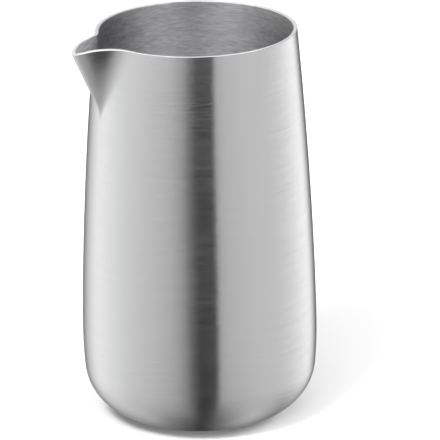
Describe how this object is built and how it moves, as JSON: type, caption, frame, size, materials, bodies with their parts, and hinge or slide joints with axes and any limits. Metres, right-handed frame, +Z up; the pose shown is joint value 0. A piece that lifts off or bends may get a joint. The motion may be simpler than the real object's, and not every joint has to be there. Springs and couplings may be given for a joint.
{
  "type": "creamer",
  "caption": "Tall handle-less creamer of satin steel with a rounded belly, a necked wall and a pulled V-shaped pouring spout.",
  "frame": {"origin": "middle of the underside, on the jug's axis, at the surface that it stands on", "axes": "+Z up along the jug's axis, -X towards the spout, so the jug is the same on both sides of the XZ plane"},
  "size_m": [0.0684, 0.0636, 0.108],
  "materials": {
    "shell_steel": "satin, brushed round the jug's axis inside and out",
    "plate_steel": "satin, brushed in circles",
    "weld_steel": "ground flush underneath, matt"
  },
  "bodies": {
    "root": {"body_shell": "shell_steel", "base_plate": "plate_steel", "base_weld": "weld_steel"}
  },
  "joints": []
}
